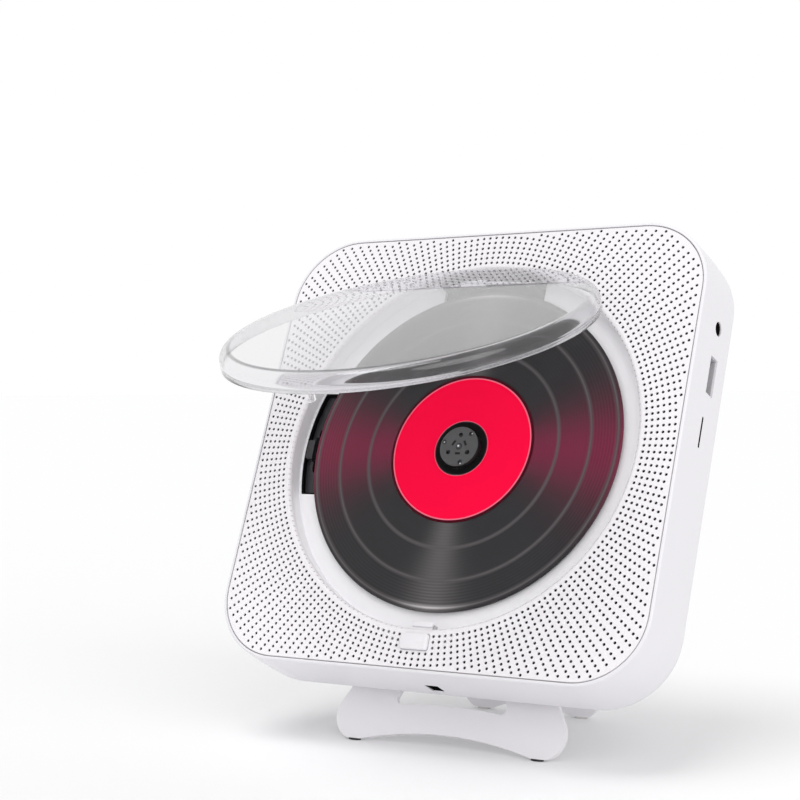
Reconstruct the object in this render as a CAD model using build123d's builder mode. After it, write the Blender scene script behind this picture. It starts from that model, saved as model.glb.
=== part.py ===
"""A square disc player that hangs on a wall or stands on a desk, here on its bent-plate desk stand.

The clear round lid is hinged at the top of the disc well and stands open. The front carries a
disc, an open button and the loudspeakers behind its panel; the sockets are in the right side, the
control keys in the top, and the laser mechanism sits behind the disc.

The row frame has +Z up and the player facing -Y. Inside the case, places are given as x to the
right, `up` along the leaning face from the disc's centre, and `depth` behind the front plane.
"""
import math
import os

from build123d import *

os.makedirs("parts", exist_ok=True)

# ---------------------------------------------------------- driving dimensions, mm and degrees
LEAN = 24.7                     # the face leans back from upright
DISC_HEIGHT = 106.0             # disc centre above the desk
FACE_SETBACK = 15.235           # disc centre behind the origin

PANEL_HALF = 81.3               # front panel, a rounded square
PANEL_CORNER = 24.0
PANEL_THICK = 2.0
LIP_ROUND = 1.7

CASE_HALVES = (82.5, 83.3, 83.7)        # outside of the case at the depths below: the sides swell
CASE_DEPTHS = (0.0, 10.0, 20.0)
CASE_DEPTH = 32.5
CASE_INSIDE = 81.5
CASE_WALL = 2.0
CASE_CORNER = 25.2
CASE_BACK_ROUND = 8.0

WELL_RADIUS = 67.2
WELL_WALL = 1.6
WELL_FLOOR = (7.0, 8.6)
WINDOW_X = (-66.4, 32.0)        # opening in the floor over the laser mechanism
WINDOW_UP = (-18.0, 22.0)
POCKET_HALF = 20.3              # hinge pocket in the top of the well
POCKET_UP = (56.6, 66.9)

DISC_RADIUS = 60.0
DISC_HOLE = 7.5
DISC_DEPTH = (4.8, 6.0)
LABEL_RADII = (9.9, 26.8)
LABEL_THICK = 0.1

HUB_RADIUS = 7.3
HUB_FRONT = 3.1
HUB_FLANGE = 14.0
CLAW_ANGLES = (50.0, 165.0, 285.0)
CLAW_TIP = 7.42

LID_RADIUS = 63.7
LID_RIM = 4.0                   # depth of the rim when the lid is shut
LID_FRONT = -2.45               # depth of the lid's front when the lid is shut
LID_TOP = 2.0
LID_WALL = 1.8
LID_ROUND = 3.5
LID_OPEN = 48.4
HINGE_DEPTH = 4.3
HINGE_UP = 63.5
HINGE_PIN = 0.8
HINGE_BORE = 0.85
KNUCKLE = 1.75
EAR_X = (13.2, 17.0)
LUG_X = (17.4, 20.0)

BUTTON_HALF = 5.75
BUTTON_UP = (-75.3, -69.1)
BUTTON_PROUD = 1.5
BUTTON_GAP = 0.25
LATCH_HALF = 3.85
LATCH_UP = (-67.6, -64.35)

KEY_DEPTH = 14.0
KEY_SIZE = (9.0, 5.0)
KEY_GAP = 0.3
KEY_TOP = 84.3
KEYS = {"volume_down": -35.0, "previous": -21.0, "play": -7.0,
        "next": 7.0, "volume_up": 21.0, "power": 35.0}

JACK = (14.3, 48.0)             # depth and up of each socket's centre in the right side
JACK_BORE = 1.78
USB = (14.9, 30.8)
USB_SIZE = (5.4, 13.2)
CARD = (13.1, 10.0)
CARD_SIZE = (1.2, 11.0)
CHARGE = (1.5, 17.4)            # x and depth of the charging socket in the bottom
CHARGE_SIZE = (5.2, 7.6)

BOARD_X = (40.0, 80.8)
BOARD_UP = (-30.0, 56.0)
BOARD_DEPTH = (10.6, 12.2)
BOARD_POSTS = ((44.0, -26.0), (44.0, 52.0), (76.0, -26.0), (62.0, 52.0))

CHASSIS_DEPTH = (8.9, 10.5)
DAMPERS = ((-58.0, 25.0), (-58.0, -27.5), (28.0, 25.0), (28.0, -27.5))
ROD_UP = 13.5
ROD_DEPTH = 14.5
ROD_RADIUS = 1.25
ROD_X = (-70.4, -12.0)
SLED_X = (-32.0, -16.0)
SLED_DEPTH = (12.0, 17.0)
LENS_X = -24.0
RACK_X = (-33.0, 7.0)
RACK_UP = -21.5                 # pitch line of the rack
RACK_DEPTH = (12.0, 14.4)
RACK_MODULE = 0.5
PINION_TEETH = 12
WHEEL_MODULE = 0.4
WHEEL_TEETH = 30
MOTOR_TEETH = 10
GEAR = (-30.0, -24.5)
BACKLASH = 0.26

SPEAKER = 62.5                  # the two loudspeakers sit in the lower corners
BATTERY = (20.0, 44.0, 9.2)     # depth, up and radius
BATTERY_X = (-62.0, 3.0)
SCREWS = ((-66.0, 66.0), (66.0, 66.0), (-36.0, -76.4), (36.0, -76.4))
KEYHOLE_X = 16.0
KEYHOLE_UP = 2.0
KEYHOLE_DROP = 8.0
STUD_RADIUS = 1.9
STUD_HEAD = 3.6

STAND_GAP = 0.3                 # between the case's back and the stand
STAND_THICK = 2.0
STAND_BEND = 6.0                # inside radius of the top bend
STAND_TOP = 12.0
STAND_NECK = 24.0               # half width of the stand's upper part
FRONT_FOOT = (36.1, -92.3, 9.1)         # x, up and radius of the front feet
REAR_FOOT = (20.4, 8.0)                 # x and radius of the rear feet
REAR_REACH = 58.5               # rear feet behind the disc centre
PAD = (6.2, 3.6, 0.7)

# ---------------------------------------------------------- the leaning frame of the player
lean = math.radians(LEAN)
RIGHT = Vector(1, 0, 0)
INWARD = Vector(0, math.cos(lean), -math.sin(lean))
UPWARD = Vector(0, math.sin(lean), math.cos(lean))
DISC_CENTRE = Vector(0, FACE_SETBACK, DISC_HEIGHT)

face = Plane(origin=DISC_CENTRE, x_dir=RIGHT, z_dir=INWARD * -1)

swing = math.radians(LID_OPEN)
LID_OUT = INWARD * -math.cos(swing) + UPWARD * math.sin(swing)
LID_UP = INWARD * math.sin(swing) + UPWARD * math.cos(swing)
HINGE = DISC_CENTRE + INWARD * HINGE_DEPTH + UPWARD * HINGE_UP
lid_face = Plane(origin=HINGE + LID_OUT * HINGE_DEPTH - LID_UP * HINGE_UP, x_dir=RIGHT, z_dir=LID_OUT)


def layer(depth, base=face):
    """The plane parallel to the face, `depth` behind it: its x is right and its y is up the face."""
    return base.offset(-depth)


def section(x, base=face):
    """The upright plane across the player at x: its x is depth and its y is up."""
    return Plane(origin=base.origin + RIGHT * x, x_dir=base.z_dir * -1, z_dir=RIGHT)


def shelf(up):
    """The plane square to the face at a height: its x is right and its y is depth."""
    return Plane(origin=DISC_CENTRE + UPWARD * up, x_dir=RIGHT, z_dir=UPWARD)


def spoke_plane(angle):
    """The front plane turned about the disc's centre: its x points outward at an angle."""
    turn = math.radians(angle)
    outward = RIGHT * math.cos(turn) + UPWARD * math.sin(turn)
    return Plane(origin=DISC_CENTRE, x_dir=outward, z_dir=face.z_dir)


def middle(span):
    return (span[0] + span[1]) / 2


def block(x, up, depth, mode=Mode.ADD, base=face, corner=0.0):
    """A box that fills three spans; its four upright corners may be rounded."""
    width, height = x[1] - x[0], up[1] - up[0]
    with BuildSketch(layer(depth[0], base)) as outline:
        with Locations((middle(x), middle(up))):
            if corner:
                RectangleRounded(width, height, corner)
            else:
                Rectangle(width, height)
    extrude(outline.sketch, amount=depth[0] - depth[1], mode=mode)


def post(places, radius, depth, mode=Mode.ADD, base=face):
    """Round bars that run straight back through the player at (x, up) places."""
    with BuildSketch(layer(depth[0], base)) as outline:
        with Locations(*places):
            Circle(radius)
    extrude(outline.sketch, amount=depth[0] - depth[1], mode=mode)


def bar(depth, up, radius, x, mode=Mode.ADD, base=face):
    """A round bar that runs across the player."""
    with BuildSketch(section(x[0], base)) as outline:
        with Locations((depth, up)):
            Circle(radius)
    extrude(outline.sketch, amount=x[1] - x[0], mode=mode)


def turned(place, outline, mode=Mode.ADD, base=face):
    """A turned piece round the line through (x, up): its outline is (radius, depth) points."""
    centre = base.origin + base.x_dir * place[0] + base.y_dir * place[1]
    with BuildSketch(Plane(origin=centre, x_dir=base.x_dir, z_dir=base.y_dir)) as half:
        with BuildLine():
            Polyline(*outline, close=True)
        make_face()
    revolve(half.sketch, axis=Axis(centre, base.z_dir * -1), mode=mode)


def toothed(place, teeth, module, phase, depth, mode=Mode.ADD):
    """A spur gear with straight-sided teeth; `phase` is the angle of one tooth, in degrees."""
    pitch = teeth * module / 2
    half = (math.pi * module / 2 - BACKLASH) / 2
    sides = ((pitch - 1.25 * module, half + 1.25 * module * 0.36), (pitch + module, half - module * 0.36))
    points = []
    for tooth in range(teeth):
        angle = math.radians(phase + 360.0 * tooth / teeth)
        for radius, width in (sides[0], sides[1]):
            turn = angle - width / radius
            points.append((place[0] + radius * math.cos(turn), place[1] + radius * math.sin(turn)))
        for radius, width in (sides[1], sides[0]):
            turn = angle + width / radius
            points.append((place[0] + radius * math.cos(turn), place[1] + radius * math.sin(turn)))
    with BuildSketch(layer(depth[0])) as outline:
        with BuildLine():
            Polyline(*points, close=True)
        make_face()
    extrude(outline.sketch, amount=depth[0] - depth[1], mode=mode)


def save(part, name):
    part.label = name
    export_step(part, f"parts/{name}.step")


# ---------------------------------------------------------- desk stand: one bent plate on four pads
stand_front = CASE_DEPTH + STAND_GAP
bend_radius = STAND_BEND + STAND_THICK / 2
bend_centre = (DISC_CENTRE + INWARD * (stand_front + STAND_THICK + STAND_BEND) + UPWARD * STAND_TOP)
reach_y = FACE_SETBACK + REAR_REACH - bend_centre.Y
reach_z = bend_centre.Z
leg_length = math.sqrt(reach_y ** 2 + reach_z ** 2 - bend_radius ** 2)
leg_angle = math.atan2(reach_y, reach_z) - math.atan2(bend_radius, leg_length)
LEG_DOWN = Vector(0, math.sin(leg_angle), -math.cos(leg_angle))
LEG_OUT = Vector(0, math.cos(leg_angle), math.sin(leg_angle))
bend_turn = 180 - LEAN - math.degrees(leg_angle)
leg_plane = Plane(origin=bend_centre + LEG_OUT * STAND_BEND, x_dir=RIGHT, z_dir=LEG_OUT)

with BuildPart() as stand_frame:
    foot_x, foot_up, foot_radius = FRONT_FOOT
    with BuildSketch(layer(stand_front)):
        with Locations((foot_x, foot_up), (-foot_x, foot_up)):
            Circle(foot_radius)
        with Locations((0, -58.0)):
            Rectangle(56.0, 0.5)
        make_hull()
        with BuildLine():
            Polyline((-28.0, -58.2), (28.0, -58.2), (STAND_NECK, -30.0), (STAND_NECK, STAND_TOP),
                     (-STAND_NECK, STAND_TOP), (-STAND_NECK, -30.0), close=True)
        make_face()
        with Locations((0, -96.3 - 129.0)):
            Circle(129.0, mode=Mode.SUBTRACT)
    extrude(amount=-STAND_THICK)
    with BuildSketch(layer(stand_front - 1)) as window:
        with BuildLine():
            ThreePointArc((-23.0, -87.4), (0, -85.9), (23.0, -87.4))
            Polyline((23.0, -87.4), (9.5, -55.0), (-9.5, -55.0), (-23.0, -87.4))
        make_face()
        fillet(window.vertices(), 2.2)
    extrude(amount=-STAND_THICK - 2, mode=Mode.SUBTRACT)
    with BuildSketch(shelf(STAND_TOP)):
        with Locations((0, stand_front + STAND_THICK / 2)):
            Rectangle(2 * STAND_NECK, STAND_THICK)
    revolve(axis=Axis(bend_centre, RIGHT * -1), revolution_arc=bend_turn)
    rear_x, rear_radius = REAR_FOOT
    with BuildSketch(leg_plane) as leg:
        with Locations((rear_x, leg_length - rear_radius), (-rear_x, leg_length - rear_radius)):
            Circle(rear_radius)
        with Locations((0, 0.25)):
            Rectangle(2 * STAND_NECK, 0.5)
        make_hull()
        with Locations((0, leg_length - 4.6 + 35.0)):
            Circle(35.0, mode=Mode.SUBTRACT)
    extrude(amount=STAND_THICK)
    post([(KEYHOLE_X, KEYHOLE_UP), (-KEYHOLE_X, KEYHOLE_UP)], STUD_RADIUS + 0.1,
         (stand_front - 1, stand_front + STAND_THICK + 1), mode=Mode.SUBTRACT)
    with BuildSketch(Plane.XY.offset(PAD[2])):
        Rectangle(300, 300)
    extrude(amount=-30, mode=Mode.SUBTRACT)
save(stand_frame.part, "stand_frame")

front_pad_depth = stand_front + STAND_THICK / 2
front_pad_y = FACE_SETBACK + front_pad_depth / math.cos(lean) - DISC_HEIGHT * math.tan(lean)
rear_pad_y = FACE_SETBACK + REAR_REACH
with BuildPart() as stand_pads:
    with BuildSketch(Plane.XY):
        with Locations((foot_x, front_pad_y), (-foot_x, front_pad_y)):
            RectangleRounded(PAD[0], PAD[1], 1.0)
        with Locations((rear_x, rear_pad_y), (-rear_x, rear_pad_y)):
            RectangleRounded(PAD[0], PAD[1], 1.0)
    extrude(amount=PAD[2])
save(stand_pads.part, "stand_pads")

stud_places = [(KEYHOLE_X, KEYHOLE_UP), (-KEYHOLE_X, KEYHOLE_UP)]
stand_back = stand_front + STAND_THICK
with BuildPart() as stand_studs:
    post(stud_places, STUD_HEAD, (CASE_DEPTH - 4.6, CASE_DEPTH - 2.6))
    post(stud_places, STUD_RADIUS, (CASE_DEPTH - 2.6, stand_back + 3.0))
save(stand_studs.part, "stand_studs")

with BuildPart() as stud_nuts:
    with BuildSketch(layer(stand_back + 0.05)):
        with Locations(*stud_places):
            RegularPolygon(radius=3.6, side_count=6)
            Circle(STUD_RADIUS + 0.05, mode=Mode.SUBTRACT)
    extrude(amount=-2.2)
save(stud_nuts.part, "stud_nuts")

# ---------------------------------------------------------- front panel and the cloth behind it
flange_up = (BUTTON_UP[0] - 1.0, BUTTON_UP[1])
with BuildPart() as front_panel:
    with BuildSketch(layer(0)):
        RectangleRounded(2 * PANEL_HALF, 2 * PANEL_HALF, PANEL_CORNER)
        Circle(WELL_RADIUS, mode=Mode.SUBTRACT)
    extrude(amount=-PANEL_THICK)
    rings = front_panel.edges().filter_by(GeomType.CIRCLE)
    rings = rings.filter_by(lambda edge: abs(edge.radius - WELL_RADIUS) < 0.01)
    fillet(rings.sort_by(Axis(face.origin, face.z_dir))[-1], LIP_ROUND)
    block((-BUTTON_HALF - BUTTON_GAP, BUTTON_HALF + BUTTON_GAP),
          (BUTTON_UP[0] - BUTTON_GAP, BUTTON_UP[1] + BUTTON_GAP), (-1, 3), mode=Mode.SUBTRACT, corner=1.0)
    post(SCREWS, 2.6, (PANEL_THICK, 5.0))
    post(SCREWS, 1.1, (PANEL_THICK + 0.6, 6.0), mode=Mode.SUBTRACT)
save(front_panel.part, "front_panel")

with BuildPart() as grille_cloth:
    with BuildSketch(layer(PANEL_THICK)):
        RectangleRounded(2 * PANEL_HALF - 1.8, 2 * PANEL_HALF - 1.8, PANEL_CORNER - 0.9)
        Circle(WELL_RADIUS + WELL_WALL + 0.4, mode=Mode.SUBTRACT)
        with Locations(*SCREWS):
            Circle(2.7, mode=Mode.SUBTRACT)
        with Locations((0, middle(BUTTON_UP))):
            Rectangle(15.0, 9.6, mode=Mode.SUBTRACT)
    extrude(amount=-0.4)
save(grille_cloth.part, "grille_cloth")

# ---------------------------------------------------------- disc well, open to the front
well_outer = WELL_RADIUS + WELL_WALL
with BuildPart() as disc_well:
    post([(0, 0)], well_outer, (PANEL_THICK, WELL_FLOOR[1]))
    with BuildSketch(layer(2.6)):
        Circle(72.0)
        with Locations((0, -72.0)):
            Rectangle(18.0, 12.0, mode=Mode.SUBTRACT)
    extrude(amount=-1.4)
    post([(0, 0)], WELL_RADIUS, (0, WELL_FLOOR[0]), mode=Mode.SUBTRACT)
    with BuildSketch(layer(WELL_FLOOR[0] - 0.2)):
        Circle(-WINDOW_X[0])
        with Locations((middle((-90, WINDOW_X[1])), middle(WINDOW_UP))):
            Rectangle(WINDOW_X[1] + 90, WINDOW_UP[1] - WINDOW_UP[0], mode=Mode.INTERSECT)
    extrude(amount=-3, mode=Mode.SUBTRACT)
    block((-POCKET_HALF, POCKET_HALF), POCKET_UP, (2.6, 9), mode=Mode.SUBTRACT)
    block((-LATCH_HALF - 0.35, LATCH_HALF + 0.35), (-70.0, -66.0), (2.6, WELL_FLOOR[0]), mode=Mode.SUBTRACT)
    post(DAMPERS, 1.6, (WELL_FLOOR[1], 12.2))
    post(DAMPERS, 0.8, (WELL_FLOOR[1] + 0.4, 13), mode=Mode.SUBTRACT)
save(disc_well.part, "disc_well")

# ---------------------------------------------------------- lid hinge
with BuildPart() as hinge_bracket:
    block((-22.0, 22.0), (POCKET_UP[0] - 1.4, 68.4), (WELL_FLOOR[1], 12.9))
    block((-20.8, 20.8), (POCKET_UP[0] - 0.4, 67.4), (8.0, 11.7), mode=Mode.SUBTRACT)
    for side in (-1, 1):
        lug = sorted((side * LUG_X[0], side * LUG_X[1]))
        block(lug, (HINGE_UP - 1.7, HINGE_UP + 1.7), (HINGE_DEPTH, 12.0))
        bar(HINGE_DEPTH, HINGE_UP, 1.7, lug)
    bar(HINGE_DEPTH, HINGE_UP, HINGE_PIN, (-30, 30), mode=Mode.SUBTRACT)
save(hinge_bracket.part, "hinge_bracket")

with BuildPart() as hinge_pin:
    bar(HINGE_DEPTH, HINGE_UP, HINGE_PIN, (-20.2, 20.2))
save(hinge_pin.part, "hinge_pin")

with BuildPart() as lid_spring:
    bar(HINGE_DEPTH, HINGE_UP, 1.8, (-12.6, -2.0))
    block((-12.6, -11.8), (HINGE_UP + 0.9, HINGE_UP + 1.7), (HINGE_DEPTH, 11.7))
    bar(HINGE_DEPTH, HINGE_UP, 1.0, (-30, 30), mode=Mode.SUBTRACT)
save(lid_spring.part, "lid_spring")

# ---------------------------------------------------------- clear lid, drawn open about its hinge
with BuildPart() as lid_cover:
    post([(0, 0)], LID_RADIUS, (LID_FRONT, LID_RIM), base=lid_face)
    rings = lid_cover.edges().filter_by(GeomType.CIRCLE).sort_by(Axis(lid_face.origin, LID_OUT))
    fillet(rings[-1], LID_ROUND)
    bore = LID_RADIUS - LID_WALL
    hollow = LID_FRONT + LID_TOP
    turned((0, 0), [(0, hollow), (bore - 1.6, hollow), (bore - 0.5, hollow + 0.5), (bore, hollow + 1.6),
                    (bore, LID_RIM + 1), (0, LID_RIM + 1)], mode=Mode.SUBTRACT, base=lid_face)
    for side in (-1, 1):
        ear = sorted((side * EAR_X[0], side * EAR_X[1]))
        with BuildSketch(section(ear[0], lid_face)):
            with Locations((HINGE_DEPTH, HINGE_UP)):
                Circle(KNUCKLE)
            with Locations((3.0, 60.95)):
                Rectangle(2.0, 0.9)
            make_hull()
        extrude(amount=ear[1] - ear[0])
    bar(HINGE_DEPTH, HINGE_UP, HINGE_BORE, (-30, 30), mode=Mode.SUBTRACT, base=lid_face)
    bar(HINGE_DEPTH, HINGE_UP, 2.1, (-EAR_X[0], EAR_X[0]), mode=Mode.SUBTRACT, base=lid_face)
    block((-3.0, 3.0), (-LID_RADIUS + 0.1, -LID_RADIUS + LID_WALL), (LID_RIM - 0.5, 6.3), base=lid_face)
    block((-3.0, 3.0), (-65.1, -LID_RADIUS + 1.0), (5.5, 6.3), base=lid_face)
save(lid_cover.part, "lid_cover")

# ---------------------------------------------------------- open button and the latch it works
with BuildPart() as open_button:
    block((-BUTTON_HALF, BUTTON_HALF), BUTTON_UP, (-BUTTON_PROUD, 2.7), corner=0.8)
    fillet(open_button.faces().sort_by(Axis(face.origin, face.z_dir))[-1].edges(), 0.4)
    block((-6.8, 6.8), flange_up, (2.7, 3.7))
    block((-1.0, 1.0), (-73.8, -72.2), (3.7, 7.2))
save(open_button.part, "open_button")

with BuildPart() as latch_hook:
    block((-LATCH_HALF, LATCH_HALF), LATCH_UP, (3.0, 5.2))
    block((-LATCH_HALF, LATCH_HALF), (LATCH_UP[0], -65.6), (5.2, 6.7))
    block((-LATCH_HALF, LATCH_HALF), (-78.0, LATCH_UP[0]), (5.5, 6.7))
    block((-2.6, 2.6), (-75.6, -69.2), (5, 7), mode=Mode.SUBTRACT)
save(latch_hook.part, "latch_hook")

with BuildPart() as latch_carrier:
    block((-9.0, 9.0), (-79.6, -60.0), (9.2, 10.4))
    block((-9.0, 9.0), (-66.8, -60.0), (WELL_FLOOR[1], 9.2))
    block((-5.6, -4.2), (-79.6, -69.3), (5.5, 9.2))
    block((4.2, 5.6), (-79.6, -69.3), (5.5, 9.2))
save(latch_carrier.part, "latch_carrier")

with BuildPart() as button_spring:
    post([(0, -73.0)], 2.3, (5.5, 9.2))
    post([(0, -73.0)], 1.8, (5.0, 9.2), mode=Mode.SUBTRACT)
save(button_spring.part, "button_spring")

# ---------------------------------------------------------- case
with BuildPart() as cavity:
    with BuildSketch(layer(-1)):
        RectangleRounded(2 * CASE_INSIDE, 2 * CASE_INSIDE, CASE_CORNER - 0.9)
    extrude(amount=CASE_WALL - CASE_DEPTH - 1)
    fillet(cavity.faces().sort_by(Axis(face.origin, face.z_dir))[0].edges(), CASE_BACK_ROUND - 2.4)

with BuildPart() as rear_case:
    for depth, half in zip(CASE_DEPTHS, CASE_HALVES):
        with BuildSketch(layer(depth)):
            RectangleRounded(2 * half, 2 * half, CASE_CORNER + half - CASE_HALVES[0])
    loft()
    with BuildSketch(layer(CASE_DEPTHS[2])):
        RectangleRounded(2 * half, 2 * half, CASE_CORNER + half - CASE_HALVES[0])
    extrude(amount=CASE_DEPTHS[2] - CASE_DEPTH)
    fillet(rear_case.faces().sort_by(Axis(face.origin, face.z_dir))[0].edges(), CASE_BACK_ROUND)
    fillet(rear_case.faces().sort_by(Axis(face.origin, face.z_dir))[-1].edges(), 0.7)
    add(cavity.part, mode=Mode.SUBTRACT)
    post(SCREWS, 3.9, (5.2, CASE_DEPTH - 1))
    post(BOARD_POSTS, 2.2, (BOARD_DEPTH[1], CASE_DEPTH - 1))
    for rib in ((-47.0, -45.0), (45.0, 47.0)):
        block(rib, (72.4, 75.4), (9.0, CASE_DEPTH - 1))
    post(SCREWS, 1.4, (0, CASE_DEPTH + 1), mode=Mode.SUBTRACT)
    post(SCREWS, 2.8, (12.0, CASE_DEPTH + 1), mode=Mode.SUBTRACT)
    through = (CASE_DEPTH - 3, CASE_DEPTH + 1)
    slot_half = STUD_RADIUS + 0.2
    slot_up = (KEYHOLE_UP - KEYHOLE_DROP, KEYHOLE_UP)
    for side in (-KEYHOLE_X, KEYHOLE_X):
        post([(side, slot_up[0])], STUD_HEAD + 0.6, through, mode=Mode.SUBTRACT)
        post([(side, slot_up[1])], slot_half, through, mode=Mode.SUBTRACT)
        block((side - slot_half, side + slot_half), slot_up, through, mode=Mode.SUBTRACT)
    for key_x in KEYS.values():
        with BuildSketch(shelf(CASE_INSIDE - 1)) as slot:
            with Locations((key_x, KEY_DEPTH)):
                RectangleRounded(KEY_SIZE[0] + 2 * KEY_GAP, KEY_SIZE[1] + 2 * KEY_GAP, 1.1)
        extrude(slot.sketch, amount=5, mode=Mode.SUBTRACT)
    with BuildSketch(section(CASE_INSIDE - 1)) as ports:
        with Locations(JACK):
            Circle(2.5)
        with Locations(USB):
            Rectangle(USB_SIZE[0] + 0.2, USB_SIZE[1] + 0.2)
        with Locations(CARD):
            RectangleRounded(CARD_SIZE[0], CARD_SIZE[1], 0.5)
    extrude(ports.sketch, amount=5, mode=Mode.SUBTRACT)
    with BuildSketch(shelf(-CASE_INSIDE - 4)) as charge_hole:
        with Locations(CHARGE):
            Rectangle(CHARGE_SIZE[0], CHARGE_SIZE[1])
    extrude(charge_hole.sketch, amount=5, mode=Mode.SUBTRACT)
    with BuildSketch(shelf(-CASE_HALVES[2] - 1)) as relief:
        with Locations((CHARGE[0], CHARGE[1] + 10)):
            Rectangle(CHARGE_SIZE[0], 20.0)
    extrude(relief.sketch, amount=1.4, mode=Mode.SUBTRACT)
save(rear_case.part, "rear_case")

with BuildPart() as case_screws:
    post(SCREWS, 2.6, (12.0, 14.0))
    post(SCREWS, 1.1, (3.2, 12.0))
save(case_screws.part, "case_screws")

# ---------------------------------------------------------- loudspeakers
speakers = ((-SPEAKER, -SPEAKER), (SPEAKER, -SPEAKER))
with BuildPart() as speaker_baskets:
    for place in speakers:
        turned(place, [(12.8, 2.4), (15.0, 2.4), (15.0, 4.0), (13.6, 4.4), (9.0, 13.4), (9.0, 14.0),
                       (2.6, 14.0), (2.6, 13.0), (8.4, 13.0), (12.8, 4.2)])
save(speaker_baskets.part, "speaker_baskets")

with BuildPart() as speaker_cones:
    for place in speakers:
        turned(place, [(0, 7.2), (4.0, 8.6), (11.4, 3.6), (12.2, 3.0), (12.8, 3.4), (12.8, 3.8), (12.2, 3.5),
                       (11.6, 4.1), (4.2, 9.2), (2.3, 9.2), (2.3, 12.6), (1.9, 12.6), (1.9, 8.6), (0, 7.8)])
save(speaker_cones.part, "speaker_cones")

with BuildPart() as speaker_magnets:
    post(speakers, 9.0, (14.0, 20.0))
save(speaker_magnets.part, "speaker_magnets")

# ---------------------------------------------------------- main board and the sockets on it
with BuildPart() as main_board:
    block(BOARD_X, BOARD_UP, BOARD_DEPTH)
save(main_board.part, "main_board")

with BuildPart() as board_chips:
    for chip in ((48.0, 60.0, 14.0, 26.0), (47.0, 55.0, -4.0, 4.0), (54.0, 62.0, -20.0, -14.0)):
        block(chip[0:2], chip[2:4], (BOARD_DEPTH[1], BOARD_DEPTH[1] + 1.4))
save(board_chips.part, "board_chips")

with BuildPart() as board_capacitors:
    post([(50.0, 35.0), (58.0, 35.0), (66.0, -20.0)], 3.1, (BOARD_DEPTH[1], BOARD_DEPTH[1] + 8.0))
save(board_capacitors.part, "board_capacitors")

usb_span = (USB[1] - USB_SIZE[1] / 2, USB[1] + USB_SIZE[1] / 2)
usb_deep = (BOARD_DEPTH[1], BOARD_DEPTH[1] + USB_SIZE[0])
with BuildPart() as usb_socket:
    block((68.5, 83.0), usb_span, usb_deep)
    block((69.5, 84.0), (usb_span[0] + 0.35, usb_span[1] - 0.35), (usb_deep[0] + 0.35, usb_deep[1] - 0.35),
          mode=Mode.SUBTRACT)
    block((69.5, 82.2), (usb_span[0] + 1.0, usb_span[1] - 1.0), (usb_deep[0] + 0.35, usb_deep[0] + 2.1))
save(usb_socket.part, "usb_socket")

with BuildPart() as audio_jack:
    block((69.0, 81.2), (JACK[1] - 3.0, JACK[1] + 3.0), (BOARD_DEPTH[1], 17.0))
    bar(JACK[0], JACK[1], 2.3, (81.2, 83.2))
    bar(JACK[0], JACK[1], JACK_BORE, (69.2, 84.0), mode=Mode.SUBTRACT)
save(audio_jack.part, "audio_jack")

with BuildPart() as card_socket:
    block((68.0, 81.4), (CARD[1] - 6.5, CARD[1] + 6.5), (BOARD_DEPTH[1], 14.2))
    block((69.0, 82.0), (CARD[1] - 5.5, CARD[1] + 5.5), (CARD[0] - 0.5, CARD[0] + 0.5), mode=Mode.SUBTRACT)
save(card_socket.part, "card_socket")

with BuildPart() as ir_receiver:
    block((73.0, 78.5), (-4.0, 4.0), (4.2, 7.5))
    bar(5.0, 0.0, 2.2, (74.0, 77.5))
    for leg_up in (-2.5, 0.0, 2.5):
        block((75.5, 76.0), (leg_up - 0.3, leg_up + 0.3), (7.5, BOARD_DEPTH[0]))
save(ir_receiver.part, "ir_receiver")

# ---------------------------------------------------------- charging socket on its own small board
with BuildPart() as charge_board:
    block((6.6, 8.0), (-CASE_INSIDE, -68.0), (12.6, 24.4))
save(charge_board.part, "charge_board")

with BuildPart() as charge_socket:
    block((-2.4, 6.6), (-CASE_INSIDE, -75.0), (12.3, 22.5))
    block((CHARGE[0] - 2.2, CHARGE[0] + 2.2), (-CASE_INSIDE - 1, -76.0), (CHARGE[1] - 3.5, CHARGE[1] + 3.5),
          mode=Mode.SUBTRACT)
    block((CHARGE[0] - 0.5, CHARGE[0] + 0.5), (0.8 - CASE_INSIDE, -75.5), (CHARGE[1] - 2.6, CHARGE[1] + 2.6))
save(charge_socket.part, "charge_socket")

# ---------------------------------------------------------- control keys
with BuildPart() as key_board:
    block((-48.0, 48.0), (75.4, 76.8), (9.0, 19.0))
save(key_board.part, "key_board")

with BuildPart() as key_switches:
    for key_x in KEYS.values():
        block((key_x - 2.6, key_x + 2.6), (76.8, 78.6), (KEY_DEPTH - 2.0, KEY_DEPTH + 2.0))
save(key_switches.part, "key_switches")

for key_name, key_x in KEYS.items():
    with BuildPart() as key:
        with BuildSketch(shelf(80.2)):
            with Locations((key_x, KEY_DEPTH)):
                RectangleRounded(KEY_SIZE[0], KEY_SIZE[1], 0.8)
        extrude(amount=KEY_TOP - 80.2)
        fillet(key.faces().sort_by(Axis(face.origin, UPWARD))[-1].edges(), 0.4)
        block((key_x - 5.3, key_x + 5.3), (80.2, 81.1), (KEY_DEPTH - 3.2, KEY_DEPTH + 3.2))
        block((key_x - 1.2, key_x + 1.2), (79.3, 80.2), (KEY_DEPTH - 1.2, KEY_DEPTH + 1.2))
    save(key.part, f"key_{key_name}")

# ---------------------------------------------------------- battery
cell_depth, cell_up, cell_radius = BATTERY
with BuildPart() as battery_cell:
    bar(cell_depth, cell_up, cell_radius, BATTERY_X)
    bar(cell_depth, cell_up, 2.6, (BATTERY_X[1], BATTERY_X[1] + 1.0))
save(battery_cell.part, "battery_cell")

with BuildPart() as battery_holder:
    block((-66.0, 8.0), (cell_up - 10.0, cell_up + 10.0), (cell_depth + cell_radius, CASE_DEPTH - CASE_WALL))
    for wall in ((-66.0, -64.4), (6.4, 8.0)):
        block(wall, (cell_up - 8.0, cell_up + 8.0), (14.0, cell_depth + cell_radius))
save(battery_holder.part, "battery_holder")

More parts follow.
